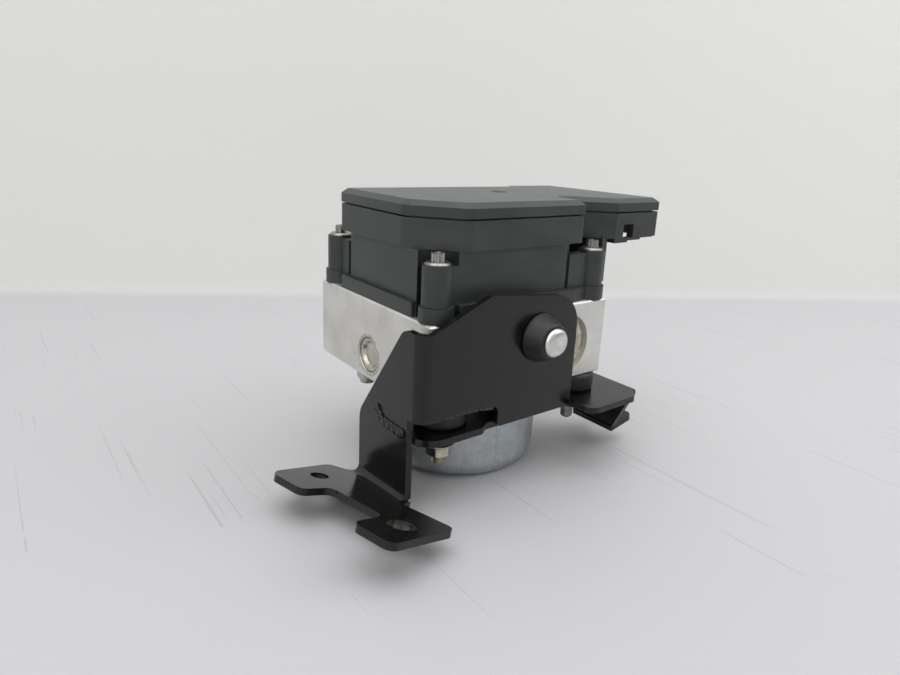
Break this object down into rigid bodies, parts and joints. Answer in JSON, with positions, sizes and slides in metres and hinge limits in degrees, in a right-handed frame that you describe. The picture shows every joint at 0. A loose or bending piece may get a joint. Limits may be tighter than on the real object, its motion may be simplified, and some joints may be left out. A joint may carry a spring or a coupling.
{
  "type": "abs brake module",
  "caption": "Anti-lock brake hydraulic unit: pump motor, valve block and electronic unit with side connector, hung in a stamped bracket by rubber isolators.",
  "frame": {"origin": "on the pump motor's axis at the can's end face, which is the lowest face of the module", "axes": "+Z along the motor's axis towards the electronic unit, +X towards the electrical connector, -Y towards the bracket's front plate"},
  "size_m": [0.195, 0.1287, 0.1302],
  "materials": {
    "block_aluminium": "machined aluminium, fine milling marks",
    "housing_plastic": "glass-filled black moulding",
    "lid_plastic": "glass-filled black-green moulding",
    "galvanised_steel": "drawn zinc-coated steel",
    "bracket_paint": "black electrocoat on stamped steel",
    "zinc_steel": "bright zinc plating",
    "plain_steel": "turned or ground steel",
    "isolator_rubber": "moulded rubber",
    "seal_rubber": "moulded rubber",
    "copper": "enamelled copper wire",
    "bronze": "sintered bronze",
    "ferrite": "sintered ferrite",
    "laminated_steel": "stacked electrical steel",
    "carbon": "pressed carbon",
    "natural_plastic": "moulded natural plastic",
    "board_green": "glass-fibre board with solder mask",
    "contact_brass": "tin-plated brass contacts"
  },
  "bodies": {
    "unit": {"valve_block": "block_aluminium", "pump_plugs": "plain_steel", "accumulator_caps": "zinc_steel", "motor_can": "galvanised_steel", "motor_flange": "galvanised_steel", "motor_screws": "zinc_steel", "motor_seal": "seal_rubber", "motor_magnets": "ferrite", "motor_lead": "natural_plastic", "rear_bush": "bronze", "front_bearing": "plain_steel", "brush_holder": "natural_plastic", "motor_brushes": "carbon", "ecu_housing": "housing_plastic", "ecu_lid": "lid_plastic", "ecu_seal": "seal_rubber", "circuit_board": "board_green", "connector_pins": "contact_brass", "post_sleeves": "plain_steel", "housing_bolts": "zinc_steel", "solenoid_coils": "natural_plastic", "inlet_valves": "plain_steel", "outlet_valves": "plain_steel", "mounting_bracket": "bracket_paint", "cradle": "bracket_paint", "weld_beads": "bracket_paint", "weld_nut": "bracket_paint", "rubber_isolators": "isolator_rubber", "isolator_stud": "zinc_steel", "locating_pin": "zinc_steel", "flange_nut": "zinc_steel", "plate_grommet": "isolator_rubber", "grommet_pin": "zinc_steel", "piston_spring_left": "plain_steel", "accumulator_spring_left": "plain_steel", "piston_spring_right": "plain_steel", "accumulator_spring_right": "plain_steel"},
    "rotor": {"rotor_shaft": "plain_steel", "rotor_core": "laminated_steel", "rotor_windings": "copper", "commutator": "copper"},
    "pump_piston_left": {"pump_piston_left": "plain_steel"},
    "pump_piston_right": {"pump_piston_right": "plain_steel"},
    "accumulator_piston_left": {"accumulator_piston_left": "plain_steel"},
    "accumulator_piston_right": {"accumulator_piston_right": "plain_steel"},
    "valve_armature_1": {"valve_armature_1": "plain_steel"},
    "valve_armature_2": {"valve_armature_2": "plain_steel"},
    "valve_armature_3": {"valve_armature_3": "plain_steel"},
    "valve_armature_4": {"valve_armature_4": "plain_steel"},
    "valve_armature_5": {"valve_armature_5": "plain_steel"},
    "valve_armature_6": {"valve_armature_6": "plain_steel"},
    "valve_armature_7": {"valve_armature_7": "plain_steel"},
    "valve_armature_8": {"valve_armature_8": "plain_steel"}
  },
  "joints": [
    {"name": "rotor_spin", "type": "hinge", "parent": "unit", "child": "rotor", "pos_m": [0, 0, 0.02], "axis": [0, 0, 1], "continuous": true},
    {"name": "pump_left_slide", "type": "slide", "parent": "unit", "child": "pump_piston_left", "axis": [-1, 0, 0], "range_m": [0, 0.002], "stiffness_N_per_m": 2000, "deforming": ["piston_spring_left"]},
    {"name": "pump_right_slide", "type": "slide", "parent": "unit", "child": "pump_piston_right", "axis": [1, 0, 0], "range_m": [0, 0.002], "stiffness_N_per_m": 2000, "deforming": ["piston_spring_right"]},
    {"name": "accumulator_left_slide", "type": "slide", "parent": "unit", "child": "accumulator_piston_left", "axis": [0, -1, 0], "range_m": [0, 0.006], "stiffness_N_per_m": 1000, "deforming": ["accumulator_spring_left"]},
    {"name": "accumulator_right_slide", "type": "slide", "parent": "unit", "child": "accumulator_piston_right", "axis": [0, -1, 0], "range_m": [0, 0.006], "stiffness_N_per_m": 1000, "deforming": ["accumulator_spring_right"]},
    {"name": "armature_1_slide", "type": "slide", "parent": "unit", "child": "valve_armature_1", "axis": [0, 0, 1], "range_m": [0, 0.0003], "stiffness_N_per_m": 2000},
    {"name": "armature_2_slide", "type": "slide", "parent": "unit", "child": "valve_armature_2", "axis": [0, 0, 1], "range_m": [0, 0.0003], "stiffness_N_per_m": 2000},
    {"name": "armature_3_slide", "type": "slide", "parent": "unit", "child": "valve_armature_3", "axis": [0, 0, 1], "range_m": [0, 0.0003], "stiffness_N_per_m": 2000},
    {"name": "armature_4_slide", "type": "slide", "parent": "unit", "child": "valve_armature_4", "axis": [0, 0, 1], "range_m": [0, 0.0003], "stiffness_N_per_m": 2000},
    {"name": "armature_5_slide", "type": "slide", "parent": "unit", "child": "valve_armature_5", "axis": [0, 0, 1], "range_m": [0, 0.0003], "stiffness_N_per_m": 2000},
    {"name": "armature_6_slide", "type": "slide", "parent": "unit", "child": "valve_armature_6", "axis": [0, 0, 1], "range_m": [0, 0.0003], "stiffness_N_per_m": 2000},
    {"name": "armature_7_slide", "type": "slide", "parent": "unit", "child": "valve_armature_7", "axis": [0, 0, 1], "range_m": [0, 0.0003], "stiffness_N_per_m": 2000},
    {"name": "armature_8_slide", "type": "slide", "parent": "unit", "child": "valve_armature_8", "axis": [0, 0, 1], "range_m": [0, 0.0003], "stiffness_N_per_m": 2000}
  ]
}
